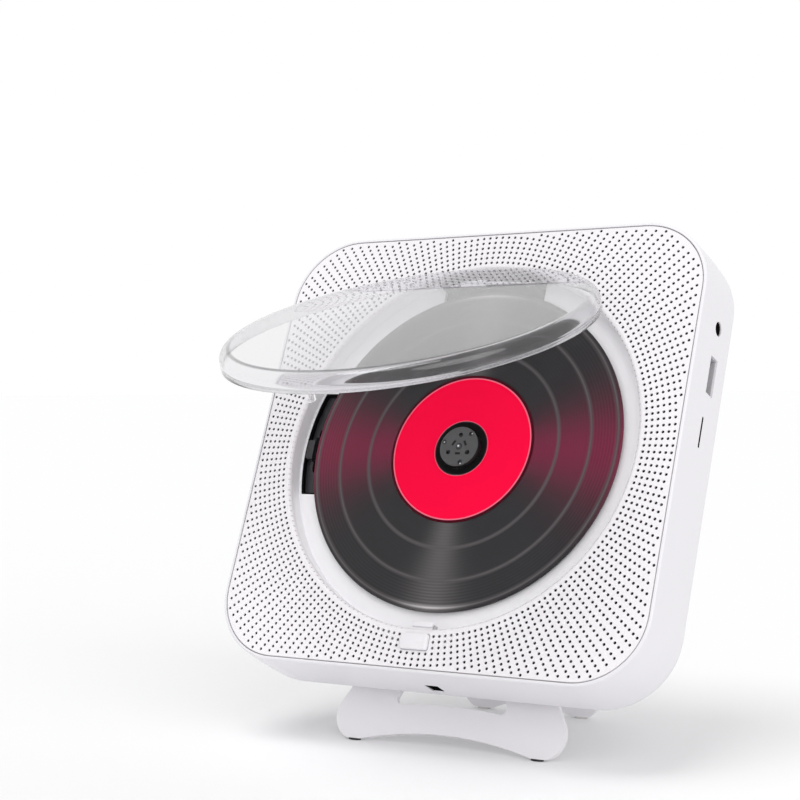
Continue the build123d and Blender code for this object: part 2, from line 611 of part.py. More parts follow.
with BuildPart() as battery_contacts:
    bar(cell_depth, cell_up, 4.0, (-64.4, BATTERY_X[0]))
    bar(cell_depth, cell_up, 4.0, (BATTERY_X[1] + 1.0, 6.4))
save(battery_contacts.part, "battery_contacts")

# ---------------------------------------------------------- laser mechanism: chassis on four soft bushes
with BuildPart() as mechanism_chassis:
    block((-71.0, 34.0), (-33.0, 31.0), CHASSIS_DEPTH, corner=3.0)
    block((-65.5, -62.5), (-4.0, 3.0), (7.4, CHASSIS_DEPTH[0]))
    for side in (-1, 1):
        rod_up = sorted((side * (ROD_UP - 2.3), side * (ROD_UP + 2.3)))
        for end in ((-71.0, -67.6), (-13.9, -11.4)):
            block(end, rod_up, (CHASSIS_DEPTH[1], 16.6))
    post([(-13.2, -29.0), (-22.0, -30.4)], 1.5, (CHASSIS_DEPTH[1], 17.0))
    block((-31.4, -11.6), (-32.0, -17.2), (16.9, 17.5), corner=2.0)
    block((-63.0, -19.0), (-9.0, 9.0), (8, 11), mode=Mode.SUBTRACT, corner=2.0)
    post([(0, 0)], 3.5, (8, 11), mode=Mode.SUBTRACT)
    post(DAMPERS, 2.5, (8, 11), mode=Mode.SUBTRACT)
    post([(-22.0, GEAR[1])], 1.4, (16, 18), mode=Mode.SUBTRACT)
    post([GEAR], 0.9, (8, 18), mode=Mode.SUBTRACT)
    for side in (-1, 1):
        bar(ROD_DEPTH, side * ROD_UP, ROD_RADIUS, ROD_X, mode=Mode.SUBTRACT)
save(mechanism_chassis.part, "mechanism_chassis")

with BuildPart() as damper_bushes:
    post(DAMPERS, 3.3, (WELL_FLOOR[1], CHASSIS_DEPTH[0]))
    post(DAMPERS, 2.5, CHASSIS_DEPTH)
    post(DAMPERS, 3.3, (CHASSIS_DEPTH[1], 12.2))
    post(DAMPERS, 1.6, (8, 13), mode=Mode.SUBTRACT)
save(damper_bushes.part, "damper_bushes")

with BuildPart() as mechanism_screws:
    post(DAMPERS, 3.0, (12.2, 13.4))
    post(DAMPERS, 0.8, (WELL_FLOOR[1] + 0.6, 12.2))
save(mechanism_screws.part, "mechanism_screws")

with BuildPart() as guide_rods:
    for side in (-1, 1):
        bar(ROD_DEPTH, side * ROD_UP, ROD_RADIUS, ROD_X)
save(guide_rods.part, "guide_rods")

with BuildPart() as spindle_motor:
    post([(0, 0)], 11.0, (CHASSIS_DEPTH[1], 17.5))
    post([(0, 0)], 1.1, (10, 17.0), mode=Mode.SUBTRACT)
save(spindle_motor.part, "spindle_motor")

with BuildPart() as sled_motor:
    post([(-22.0, GEAR[1])], 7.4, (17.5, 27.0))
    post([(-22.0, GEAR[1])], 0.9, (17, 22.0), mode=Mode.SUBTRACT)
save(sled_motor.part, "sled_motor")

with BuildPart() as gear_axle:
    post([GEAR], 0.9, (CHASSIS_DEPTH[0], 17.5))
save(gear_axle.part, "gear_axle")

# ---------------------------------------------------------- turntable
with BuildPart() as turntable_hub:
    turned((0, 0), [(0, 8.3), (4.0, 8.3), (4.0, 7.6), (HUB_FLANGE, 7.6), (HUB_FLANGE, 6.05),
                    (HUB_RADIUS, 6.05), (HUB_RADIUS, HUB_FRONT + 0.5), (HUB_RADIUS - 0.5, HUB_FRONT),
                    (0, HUB_FRONT)])
    for angle in CLAW_ANGLES:
        spoke = spoke_plane(angle)
        block((3.9, 9.0), (-1.3, 1.3), (2, 5.7), mode=Mode.SUBTRACT, base=spoke)
    for angle in (107.0, 225.0, 345.0):
        spoke = spoke_plane(angle)
        block((4.2, 5.0), (-1.6, 1.6), (2, 4.2), mode=Mode.SUBTRACT, base=spoke)
        post([(3.4, 3.4)], 0.6, (2, 4.2), mode=Mode.SUBTRACT, base=spoke)
    post([(0, 0)], 1.0, (2, 9), mode=Mode.SUBTRACT)
save(turntable_hub.part, "turntable_hub")

with BuildPart() as spindle_shaft:
    post([(0, 0)], 1.0, (2.5, 16.0))
    fillet(spindle_shaft.faces().sort_by(Axis(face.origin, face.z_dir))[-1].edges(), 0.6)
save(spindle_shaft.part, "spindle_shaft")

for number, angle in enumerate(CLAW_ANGLES, start=1):
    spoke = spoke_plane(angle)
    with BuildPart() as claw:
        post([(0, 0)], CLAW_TIP, (3.3, 5.4))
        block((4.7, 9.0), (-1.0, 1.0), (3.3, 5.4), mode=Mode.INTERSECT, base=spoke)
    save(claw.part, f"claw_{number}")

# ---------------------------------------------------------- disc
with BuildPart() as compact_disc:
    post([(0, 0)], DISC_RADIUS, DISC_DEPTH)
    post([(0, 0)], DISC_HOLE, (4, 7), mode=Mode.SUBTRACT)
save(compact_disc.part, "compact_disc")

with BuildPart() as disc_label:
    post([(0, 0)], LABEL_RADII[1], (DISC_DEPTH[0] - LABEL_THICK, DISC_DEPTH[0]))
    post([(0, 0)], LABEL_RADII[0], (4, 5), mode=Mode.SUBTRACT)
save(disc_label.part, "disc_label")

# ---------------------------------------------------------- pickup sled, its rack and the two gears
with BuildPart() as pickup_sled:
    block(SLED_X, (-16.8, 16.8), SLED_DEPTH)
    bar(ROD_DEPTH, ROD_UP, ROD_RADIUS + 0.05, (-90, 0), mode=Mode.SUBTRACT)
    block((-90, 0), (-18.0, 1.3 - ROD_UP), (ROD_DEPTH - 1.3, ROD_DEPTH + 1.3), mode=Mode.SUBTRACT)
save(pickup_sled.part, "pickup_sled")

with BuildPart() as pickup_lens:
    post([(LENS_X, 0)], 2.6, (9.0, SLED_DEPTH[0]))
    fillet(pickup_lens.faces().sort_by(Axis(face.origin, face.z_dir))[-1].edges(), 0.8)
save(pickup_lens.part, "pickup_lens")

rack_half = (math.pi * RACK_MODULE / 2 - BACKLASH) / 2
with BuildPart() as sled_rack:
    block(RACK_X, (RACK_UP + 1.25 * RACK_MODULE, -16.8), RACK_DEPTH)
    with BuildSketch(layer(RACK_DEPTH[0])) as rack_teeth:
        for tooth in range(-1, 23):
            tooth_x = GEAR[0] + tooth * math.pi * RACK_MODULE
            with BuildLine():
                Polyline((tooth_x - rack_half - 0.225, RACK_UP + 0.65),
                         (tooth_x - rack_half + 0.18, RACK_UP - 0.5),
                         (tooth_x + rack_half - 0.18, RACK_UP - 0.5),
                         (tooth_x + rack_half + 0.225, RACK_UP + 0.65), close=True)
            make_face()
    extrude(rack_teeth.sketch, amount=RACK_DEPTH[0] - RACK_DEPTH[1])
save(sled_rack.part, "sled_rack")

with BuildPart() as drive_gear:
    toothed(GEAR, PINION_TEETH, RACK_MODULE, 90.0 + 180.0 / PINION_TEETH, (12.0, 15.0))
    toothed(GEAR, WHEEL_TEETH, WHEEL_MODULE, 0.0, (15.0, 16.5))
    post([GEAR], 0.95, (11, 17), mode=Mode.SUBTRACT)
save(drive_gear.part, "drive_gear")

with BuildPart() as motor_pinion:
    toothed((GEAR[0] + 8.0, GEAR[1]), MOTOR_TEETH, WHEEL_MODULE, 180.0 + 180.0 / MOTOR_TEETH, (14.9, 16.6))
    post([(GEAR[0] + 8.0, GEAR[1])], 0.7, (14.9, 21.5))
save(motor_pinion.part, "motor_pinion")
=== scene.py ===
"""The finish of a square disc player on its desk stand: pierced front, clear lid, grooved disc.

Places are given in the model's own terms: x to the right, `up` along the leaning face from the
disc's centre and `depth` behind the front plane, all in millimetres.
"""
import math

import bmesh
import bpy
from mathutils import Matrix, Vector
from mathutils.geometry import delaunay_2d_cdt


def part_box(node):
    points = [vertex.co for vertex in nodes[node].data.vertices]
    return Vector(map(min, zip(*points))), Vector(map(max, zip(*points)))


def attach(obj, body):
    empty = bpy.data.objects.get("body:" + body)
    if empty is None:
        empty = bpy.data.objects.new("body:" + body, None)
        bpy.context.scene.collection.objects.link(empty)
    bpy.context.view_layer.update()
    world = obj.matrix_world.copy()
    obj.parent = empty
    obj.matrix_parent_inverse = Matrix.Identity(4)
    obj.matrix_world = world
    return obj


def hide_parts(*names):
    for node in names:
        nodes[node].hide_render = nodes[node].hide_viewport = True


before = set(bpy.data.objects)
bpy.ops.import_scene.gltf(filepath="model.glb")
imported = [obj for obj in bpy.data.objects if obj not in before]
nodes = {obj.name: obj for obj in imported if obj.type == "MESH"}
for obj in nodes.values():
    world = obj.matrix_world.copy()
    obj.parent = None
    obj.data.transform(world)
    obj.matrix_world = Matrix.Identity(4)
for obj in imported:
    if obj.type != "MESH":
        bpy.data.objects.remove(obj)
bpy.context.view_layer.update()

# ---------------------------------------------------------------- places on the leaning player
MM = 0.001
LEAN = math.radians(24.7)
LID_OPEN = math.radians(48.4)
HINGE_UP, HINGE_DEPTH = 63.5, 4.3       # the lid's hinge line
DISC_WIDTH = 120.0
DISC_FRONT, DISC_MIDDLE, DISC_BACK = 4.8, 5.4, 6.0      # depths through the disc's thickness

RIGHT = Vector((1, 0, 0))
INWARD = Vector((0, math.cos(LEAN), -math.sin(LEAN)))
UPWARD = Vector((0, math.sin(LEAN), math.cos(LEAN)))
LID_IN = INWARD * math.cos(LID_OPEN) - UPWARD * math.sin(LID_OPEN)
LID_UP = INWARD * math.sin(LID_OPEN) + UPWARD * math.cos(LID_OPEN)

low, high = (Vector(corner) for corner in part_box("compact_disc"))
DISC_CENTRE = (low + high) / 2 - INWARD * DISC_MIDDLE * MM


def on_face(x, up, depth):
    return DISC_CENTRE + (RIGHT * x + UPWARD * up + INWARD * depth) * MM


def on_lid(x, up, depth):
    """A point of the lid, given where it is with the lid shut, swung open about the hinge."""
    hinge = on_face(0, HINGE_UP, HINGE_DEPTH)
    return hinge + (RIGHT * x + LID_UP * (up - HINGE_UP) + LID_IN * (depth - HINGE_DEPTH)) * MM


# ---------------------------------------------------------------- shader building
FLOAT, COLOUR = "NodeSocketFloat", "NodeSocketColor"
MIX_AMOUNT, MIX_UNDER, MIX_OVER, MIX_RESULT = 0, 6, 7, 2     # the colour sockets of a Mix node


def output_of(source):
    """The socket that a (node, output) pair names."""
    node, output = source
    return node.outputs[output]


def link_up(tree, sources, target):
    """Joins each (node, output) to the named input of a node, or sets the input to a value."""
    for name, source in sources.items():
        if isinstance(source, tuple) and isinstance(source[0], bpy.types.Node):
            tree.links.new(output_of(source), target.inputs[name])
        else:
            target.inputs[name].default_value = source


def add_node(tree, kind, settings=None, **inputs):
    node = tree.nodes.new(kind)
    for name, value in (settings or {}).items():
        setattr(node, name, value)
    link_up(tree, {name.replace("_", " "): value for name, value in inputs.items()}, node)
    return node


def calc(tree, operation, first, second=None, third=None, clamp=False):
    """One Math node; each value is a number or a (node, output) pair."""
    node = tree.nodes.new("ShaderNodeMath")
    node.operation = operation
    node.use_clamp = clamp
    for socket, value in zip(node.inputs, (first, second, third)):
        if isinstance(value, tuple):
            tree.links.new(output_of(value), socket)
        elif value is not None:
            socket.default_value = value
    return (node, 0)


def lay_over(tree, amount, under, over):
    """Lays one colour over another by an amount; all are (node, output) pairs."""
    mix = add_node(tree, "ShaderNodeMix", {"data_type": "RGBA"})
    for socket, source in ((MIX_AMOUNT, amount), (MIX_UNDER, under), (MIX_OVER, over)):
        tree.links.new(output_of(source), mix.inputs[socket])
    return (mix, MIX_RESULT)


def tone_down(tree, colour, tone):
    """Multiplies a colour by a tone; both are (node, output) pairs."""
    shade = add_node(tree, "ShaderNodeVectorMath", {"operation": "SCALE"}, Vector=colour,
                     Scale=tone)
    return (shade, 0)


def start_group(name, inputs, outputs):
    group = bpy.data.node_groups.new(name, "ShaderNodeTree")
    for label, kind, default in inputs:
        socket = group.interface.new_socket(name=label, in_out="INPUT", socket_type=kind)
        socket.default_value = default
    for label, kind in outputs:
        group.interface.new_socket(name=label, in_out="OUTPUT", socket_type=kind)
    return group, group.nodes.new("NodeGroupInput"), group.nodes.new("NodeGroupOutput")


def place_group(tree, group, values):
    """Puts a shared group into a material, with the material's own values."""
    node = add_node(tree, "ShaderNodeGroup", {"node_tree": group})
    link_up(tree, values, node)
    return node


def start_material(name):
    material = bpy.data.materials.new(name)
    material.use_nodes = True
    tree = material.node_tree
    return material, tree, tree.nodes["Principled BSDF"]


# ---------------------------------------------------------------- moulded and painted skins
GRAIN_DEPTH = 0.2                       # millimetres that the grain's bump stands for
CLOUDS_PER_METRE = 38.0
COAT_ROUGHNESS = 0.08


def make_grain_group():
    """Moulded or painted skin: a fine grain, faint clouding of the tone and of the gloss."""
    group, given, result = start_group(
        "skin_grain",
        [("Colour", COLOUR, (0.8, 0.8, 0.8, 1)), ("Clouding", FLOAT, 0.02),
         ("Grain Size", FLOAT, 0.4), ("Gloss", FLOAT, 0.35), ("Gloss Spread", FLOAT, 0.06)],
        [("Colour", COLOUR), ("Roughness", FLOAT), ("Height", FLOAT)])
    place = (add_node(group, "ShaderNodeTexCoord"), "Object")
    grains_per_metre = calc(group, "DIVIDE", 1 / MM, (given, "Grain Size"))
    grain = add_node(group, "ShaderNodeTexNoise", {"noise_dimensions": "3D"},
                     Vector=place, Scale=grains_per_metre, Detail=2.0, Roughness=0.6)
    clouds = add_node(group, "ShaderNodeTexNoise", {"noise_dimensions": "3D"},
                      Vector=place, Scale=CLOUDS_PER_METRE, Detail=3.0, Roughness=0.5)
    lift = calc(group, "SUBTRACT", (clouds, "Fac"), 0.5)
    tone = calc(group, "MULTIPLY_ADD", lift, (given, "Clouding"), 1.0)
    rough = calc(group, "MULTIPLY_ADD", lift, (given, "Gloss Spread"), (given, "Gloss"))
    link_up(group, {"Colour": tone_down(group, (given, "Colour"), tone), "Roughness": rough,
                    "Height": (grain, "Fac")}, result)
    return group


GRAIN = make_grain_group()


def skin(name, colour, gloss, spread=0.05, clouding=0.03, grain=0.35, relief=0.02, metal=0.0,
         coat=0.0, specular=0.5):
    """A moulded, painted or plated surface with its own grain."""
    material, tree, surface = start_material(name)
    texture = place_group(tree, GRAIN, {
        "Colour": (*colour, 1.0), "Clouding": clouding, "Grain Size": grain, "Gloss": gloss,
        "Gloss Spread": spread})
    bump = add_node(tree, "ShaderNodeBump", Strength=relief, Distance=GRAIN_DEPTH * MM,
                    Height=(texture, "Height"))
    link_up(tree, {"Base Color": (texture, "Colour"), "Roughness": (texture, "Roughness"),
                   "Metallic": metal, "Normal": (bump, "Normal"), "Specular IOR Level": specular,
                   "Coat Weight": coat, "Coat Roughness": COAT_ROUGHNESS}, surface)
    return material


# ---------------------------------------------------------------- clear plastic of the lid
LID_RADIUS, LID_FRONT, LID_RIM = 63.7, -2.45, 4.0       # outside radius, depths of face and rim
LID_TOP, LID_WALL = 0.6, 0.6            # thickness of the face and of the skirt
LID_ROUND, LID_INSIDE_ROUND = 3.5, 2.9  # radii of the fold between them
LID_FOLD = LID_RADIUS - LID_ROUND       # where the flat face ends
CLEAR_IOR = 1.49


def clear_plastic(name, tint, roughness):
    material, tree, surface = start_material(name)
    link_up(tree, {"Base Color": (*tint, 1.0), "Roughness": roughness, "IOR": CLEAR_IOR,
                   "Transmission Weight": 1.0}, surface)
    return material


def make_lid_group():
    """The lid's clear middle, a thin grey line of painted shade at its fold and the milky skirt, by
    radius.
    """
    group, given, result = start_group(
        "lid_zones",
        [("Clear", COLOUR, (0.9, 0.9, 0.9, 1)), ("Painted Fold Shade", COLOUR, (0.6, 0.6, 0.6, 1)),
         ("Smooth", FLOAT, 0.01), ("Milky", FLOAT, 0.15)],
        [("Colour", COLOUR), ("Roughness", FLOAT)])
    plane = add_node(group, "ShaderNodeUVMap", {"uv_map": "lid_plane"})
    axes = add_node(group, "ShaderNodeSeparateXYZ", Vector=(plane, "UV"))
    radius = calc(group, "MULTIPLY", (axes, "X"), LID_RADIUS)
    # the skirt sets in over the first 0.7 mm past the fold
    skirt = calc(group, "MULTIPLY_ADD", radius, 1.4, -1.4 * LID_FOLD, clamp=True)
    milkier = calc(group, "SUBTRACT", (given, "Milky"), (given, "Smooth"))
    rough = calc(group, "MULTIPLY_ADD", milkier, skirt, (given, "Smooth"))
    # the painted shade line is 0.6 mm wide, with soft sides, and fades out towards the hinge
    away = calc(group, "ABSOLUTE", calc(group, "SUBTRACT", radius, LID_FOLD))
    near_fold = calc(group, "MULTIPLY_ADD", away, -1.6, 1.5, clamp=True)
    free_side = calc(group, "MULTIPLY_ADD", (axes, "Y"), -2.6, 1.1, clamp=True)
    painted_fold_shade = calc(group, "MULTIPLY", near_fold, free_side)
    link_up(group, {"Colour": lay_over(group, painted_fold_shade, (given, "Clear"), (given, "Painted Fold Shade")),
                    "Roughness": rough}, result)
    return group


def make_lid_material():
    material, tree, surface = start_material("clear_lid_zones")
    # the fold colour is a painted shade line along the lid's curved fold
    zones = place_group(tree, make_lid_group(), {
        "Clear": (0.855, 0.853, 0.868, 1), "Painted Fold Shade": (0.2, 0.2, 0.21, 1), "Smooth": 0.012,
        "Milky": 0.05})
    link_up(tree, {"Base Color": (zones, "Colour"), "Roughness": (zones, "Roughness"),
                   "IOR": CLEAR_IOR, "Transmission Weight": 1.0}, surface)
    return material


# ---------------------------------------------------------------- grooved black of the disc, with painted sheen
BAND_RADII = (36.95, 48.85, 58.4)       # the plain bands between the grooves
PAINTED_WINE_SHEEN_NARROWS, PAINTED_SILVER_SHEEN_NARROWS = 18.0, 70.0       # how fast each painted wedge of sheen fades sideways
GROOVE_DEPTH = 0.04                     # millimetres that the grooves' bump stands for


def make_disc_group():
    """The written side of the disc: fine grooves, plain bands, painted wedges of sheen and a
    painted glint.
    """
    group, given, result = start_group(
        "disc_grooves_and_painted_sheen",
        [("Black", COLOUR, (0.05, 0.05, 0.05, 1)), ("Painted Wine Sheen", COLOUR, (0.2, 0.03, 0.05, 1)),
         ("Painted Silver Sheen", COLOUR, (0.2, 0.2, 0.2, 1)), ("Band", COLOUR, (0.06, 0.06, 0.06, 1)),
         ("Painted Glint", COLOUR, (0.3, 0.3, 0.3, 1)), ("Groove Pitch", FLOAT, 0.9)],
        [("Colour", COLOUR), ("Roughness", FLOAT), ("Height", FLOAT)])
    plane = add_node(group, "ShaderNodeUVMap", {"uv_map": "disc_plane"})
    axes = add_node(group, "ShaderNodeSeparateXYZ", Vector=(plane, "UV"))
    x, up = [calc(group, "MULTIPLY", calc(group, "SUBTRACT", (axes, axis), 0.5), DISC_WIDTH)
             for axis in ("X", "Y")]
    radius = calc(group, "SQRT", calc(group, "ADD", calc(group, "MULTIPLY", x, x),
                                      calc(group, "MULTIPLY", up, up)))
    divisor = calc(group, "MAXIMUM", radius, 0.1)
    # painted sheen: wine wedges to the left and right and silver wedges above and below, fixed on
    # the disc
    painted_wine_sheen, painted_silver_sheen = [
        calc(group, "POWER", calc(group, "ABSOLUTE", calc(group, "DIVIDE", way, divisor)), narrows)
        for way, narrows in ((x, PAINTED_WINE_SHEEN_NARROWS), (up, PAINTED_SILVER_SHEEN_NARROWS))]
    bands = []
    for middle in BAND_RADII:
        away = calc(group, "ABSOLUTE", calc(group, "SUBTRACT", radius, middle))
        bands.append(calc(group, "MULTIPLY_ADD", away, -1.0, 1.0, clamp=True))
    band = calc(group, "MAXIMUM", bands[0], calc(group, "MAXIMUM", bands[1], bands[2]))
    # painted highlight: the silver sheen brightens the outer band at the top and bottom
    painted_glint = calc(group, "MULTIPLY", painted_silver_sheen, bands[2])
    tint = (given, "Black")
    for amount, colour in ((painted_wine_sheen, "Painted Wine Sheen"), (painted_silver_sheen, "Painted Silver Sheen"), (band, "Band"), (painted_glint, "Painted Glint")):
        tint = lay_over(group, amount, tint, (given, colour))
    turn = calc(group, "DIVIDE", calc(group, "MULTIPLY", radius, math.tau), (given, "Groove Pitch"))
    groove = calc(group, "SINE", turn)
    # a quarter of the grooves' contrast near the label, and all of it beyond 52 mm
    contrast = calc(group, "MAXIMUM", calc(group, "MULTIPLY_ADD", radius, 0.12, -5.3), 0.25)
    contrast = calc(group, "SMOOTH_MIN", contrast, 1.0, 0.2)
    tone = calc(group, "MULTIPLY_ADD", calc(group, "MULTIPLY", groove, contrast), 0.2, 1.0)
    rough = calc(group, "MULTIPLY_ADD", groove, 0.03, 0.42)
    link_up(group, {"Colour": tone_down(group, tint, tone), "Roughness": rough,
                    "Height": groove}, result)
    return group


def make_disc_material():
    material, tree, surface = start_material("disc_grooved_black")
    # the wine and silver colours are painted sheen, and the glint colour a painted highlight
    grooves = place_group(tree, make_disc_group(), {
        "Black": (0.0145, 0.0135, 0.0155, 1), "Painted Wine Sheen": (0.155, 0.007, 0.036, 1),
        "Painted Silver Sheen": (0.09, 0.084, 0.086, 1), "Band": (0.085, 0.076, 0.08, 1),
        "Painted Glint": (0.5, 0.48, 0.48, 1), "Groove Pitch": 1.1})
    bump = add_node(tree, "ShaderNodeBump", Strength=0.1, Distance=GROOVE_DEPTH * MM,
                    Height=(grooves, "Height"))
    link_up(tree, {"Base Color": (grooves, "Colour"), "Roughness": (grooves, "Roughness"),
                   "Normal": (bump, "Normal"), "Specular IOR Level": 0.32}, surface)
    return material


# ---------------------------------------------------------------- the finishes
white_shell = skin("white_shell", (0.81, 0.795, 0.825), gloss=0.34, clouding=0.015, relief=0.015)
white_panel = skin("white_panel", (0.86, 0.84, 0.865), gloss=0.4, clouding=0.015, relief=0.02)
# a lighter copy of the white plastic: painted light for the well, which lies in shade
white_well_painted_light = skin("white_well_painted_light", (0.92, 0.91, 0.93), gloss=0.36, clouding=0.015, relief=0.015)
white_button = skin("white_button", (0.87, 0.85, 0.88), gloss=0.32, clouding=0.01, relief=0.015)
stand_paint = skin("stand_paint", (0.88, 0.865, 0.89), gloss=0.42, clouding=0.02, grain=0.25,
                   relief=0.05)
black_mesh = skin("black_mesh", (0.028, 0.024, 0.028), gloss=0.9, clouding=0.2, grain=0.3,
                  relief=0.5, specular=0.1)
black_moulding = skin("black_moulding", (0.026, 0.026, 0.03), gloss=0.38, clouding=0.12,
                      grain=0.3, relief=0.06)
hub_grey = skin("hub_grey", (0.062, 0.062, 0.064), gloss=0.45, clouding=0.1, grain=0.25,
                relief=0.08)
hub_black = skin("hub_black", (0.014, 0.014, 0.015), gloss=0.6, clouding=0.1, grain=0.25,
                 relief=0.08, specular=0.25)
claw_black = skin("claw_black", (0.015, 0.018, 0.018), gloss=0.35, clouding=0.1, grain=0.25,
                  relief=0.05)
pure_black = skin("pure_black", (0.006, 0.006, 0.0065), gloss=0.8, clouding=0.2, grain=0.3,
                  relief=0.2, specular=0.06)
tab_grey = skin("tab_grey", (0.052, 0.052, 0.055), gloss=0.5, clouding=0.06, grain=0.25,
                relief=0.05, specular=0.3)
pad_rubber = skin("pad_rubber", (0.02, 0.02, 0.02), gloss=0.75, clouding=0.2, grain=0.3,
                  relief=0.3)
# painted shade: a grey strip that darkens the joint round the panel
painted_seam_shade = skin("painted_seam_shade", (0.4, 0.39, 0.4), gloss=0.9, clouding=0.2, grain=0.3, relief=0.3,
                 specular=0.1)
hole_shade = skin("hole_shade", (0.5, 0.49, 0.5), gloss=0.8, clouding=0.1, grain=0.3, relief=0.1,
                  specular=0.1)
label_red = skin("label_red", (1.0, 0.006, 0.055), gloss=0.45, clouding=0.01, grain=0.3,
                 relief=0.01, specular=0.0)
# painted highlight: the pale pink rims round the label
label_rim_painted_highlight = skin("label_rim_painted_highlight", (0.9, 0.16, 0.25), gloss=0.4, clouding=0.02, grain=0.3,
                 relief=0.01, specular=0.1)
# painted shadow: the dark ring just outside the label
label_edge_painted_shadow = skin("label_edge_painted_shadow", (0.06, 0.0, 0.006), gloss=0.5, clouding=0.02, grain=0.3,
                  relief=0.01, specular=0.1)
steel = skin("steel", (0.62, 0.62, 0.64), gloss=0.28, spread=0.12, clouding=0.05, grain=0.15,
             relief=0.04, metal=1.0)
dull_steel = skin("dull_steel", (0.1, 0.1, 0.105), gloss=0.5, clouding=0.05, grain=0.15,
                  relief=0.04, metal=1.0)
black_steel = skin("black_steel", (0.05, 0.05, 0.052), gloss=0.5, clouding=0.08, grain=0.3,
                   relief=0.1)
tin_plate = skin("tin_plate", (0.5, 0.49, 0.51), gloss=0.45, clouding=0.05, grain=0.2,
                 relief=0.04)
pale_nylon = skin("pale_nylon", (0.7, 0.69, 0.65), gloss=0.5, clouding=0.04, grain=0.3,
                  relief=0.05)
board_coat = skin("board_coat", (0.015, 0.11, 0.05), gloss=0.3, clouding=0.25, grain=0.5,
                  relief=0.08)
cell_sleeve = skin("cell_sleeve", (0.04, 0.1, 0.3), gloss=0.3, clouding=0.05, grain=0.4,
                   relief=0.03)
cone_paper = skin("cone_paper", (0.04, 0.04, 0.04), gloss=0.85, clouding=0.25, grain=0.6,
                  relief=0.5)
lens_coat = skin("lens_coat", (0.12, 0.08, 0.25), gloss=0.05, clouding=0.1, coat=1.0)
clear_lid_plastic = clear_plastic("clear_lid_plastic", (0.93, 0.935, 0.94), 0.08)
clear_lid_zones = make_lid_material()
disc_black = make_disc_material()

NODE_FINISH = {
    white_shell: ["rear_case"],
    white_well_painted_light: ["disc_well"],
    white_button: ["open_button", "latch_hook", "key_volume_down", "key_previous", "key_play",
                   "key_next", "key_volume_up", "key_power"],
    stand_paint: ["stand_frame"],
    pad_rubber: ["stand_pads", "damper_bushes"],
    steel: ["stand_studs", "stud_nuts", "case_screws", "mechanism_screws", "guide_rods",
            "hinge_pin", "gear_axle", "lid_spring", "button_spring", "battery_contacts",
            "spindle_motor", "sled_motor"],
    dull_steel: ["spindle_shaft"],
    tin_plate: ["usb_socket"],
    black_moulding: ["hinge_bracket", "mechanism_chassis", "pickup_sled", "ir_receiver",
                     "battery_holder", "board_chips"],
    pure_black: ["audio_jack", "charge_socket", "card_socket"],
    hub_black: ["turntable_hub"],
    claw_black: ["claw_1", "claw_2", "claw_3"],
    pale_nylon: ["drive_gear", "motor_pinion", "sled_rack", "latch_carrier", "key_switches"],
    black_mesh: ["grille_cloth"],
    board_coat: ["main_board", "charge_board", "key_board"],
    cell_sleeve: ["battery_cell", "board_capacitors"],
    black_steel: ["speaker_baskets", "speaker_magnets"],
    cone_paper: ["speaker_cones"],
    lens_coat: ["pickup_lens"],
}
for finish, names in NODE_FINISH.items():
    for name in names:
        for place in nodes[name].material_slots:
            place.material = finish


# ---------------------------------------------------------------- mesh building
ON_AXIS = 1e-6                          # a radius below this is a single point
CORNER_STEPS = 24


def make_piece(name, points, faces, material, body, stands_for=(), sharp=32.0,
               flat_map=None):
    """A mesh piece that rides on a body; points are in the row frame, in metres.

    `flat_map` is the name of a flat map and its place for each point.
    """
    mesh = bpy.data.meshes.new(name)
    mesh.from_pydata([tuple(point) for point in points], [], faces)
    mesh.validate()
    shape = bmesh.new()
    shape.from_mesh(mesh)
    bmesh.ops.recalc_face_normals(shape, faces=shape.faces)
    shape.to_mesh(mesh)
    shape.free()
    mesh.polygons.foreach_set("use_smooth", [True] * len(mesh.polygons))
    mesh.set_sharp_from_angle(angle=math.radians(sharp))
    if flat_map:
        layer = mesh.uv_layers.new(name=flat_map[0])
        for loop in mesh.loops:
            layer.data[loop.index].uv = flat_map[1][loop.vertex_index]
    mesh.materials.append(material)
    piece = bpy.data.objects.new(name, mesh)
    bpy.context.scene.collection.objects.link(piece)
    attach(piece, body)
    if stands_for:
        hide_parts(*stands_for)
    return piece


def polar(radius, turn, centre=(0.0, 0.0)):
    """The point at a radius and a turn, in radians, about a centre."""
    return (centre[0] + radius * math.cos(turn), centre[1] + radius * math.sin(turn))


def arc(centre, radius, start, end, steps):
    """Points of an arc about a centre, angles in degrees."""
    turns = [math.radians(start + (end - start) * step / steps) for step in range(steps + 1)]
    return [polar(radius, turn, centre) for turn in turns]


def circle(radius, sides, start=0.0, centre=(0.0, 0.0)):
    """Points of a circle, anticlockwise; `start` turns it by a share of one side."""
    return [polar(radius, 2 * math.pi * (side + start) / sides, centre) for side in range(sides)]


def rounded_oblong(x, up, corner, steps):
    """Corner-rounded outline, anticlockwise; x and up are the two ends of its straight sides."""
    outline = []
    centres = ((x[1], up[1]), (x[0], up[1]), (x[0], up[0]), (x[1], up[0]))
    for quarter, centre in enumerate(centres):
        outline += arc(centre, corner, 90 * quarter, 90 * quarter + 90, steps)
    return outline


def rounded_square(half, corner):
    ends = (corner - half, half - corner)
    return rounded_oblong(ends, ends, corner, CORNER_STEPS)


def oblong(x, up):
    """The four corners of an oblong, anticlockwise."""
    return [(x[0], up[0]), (x[1], up[0]), (x[1], up[1]), (x[0], up[1])]


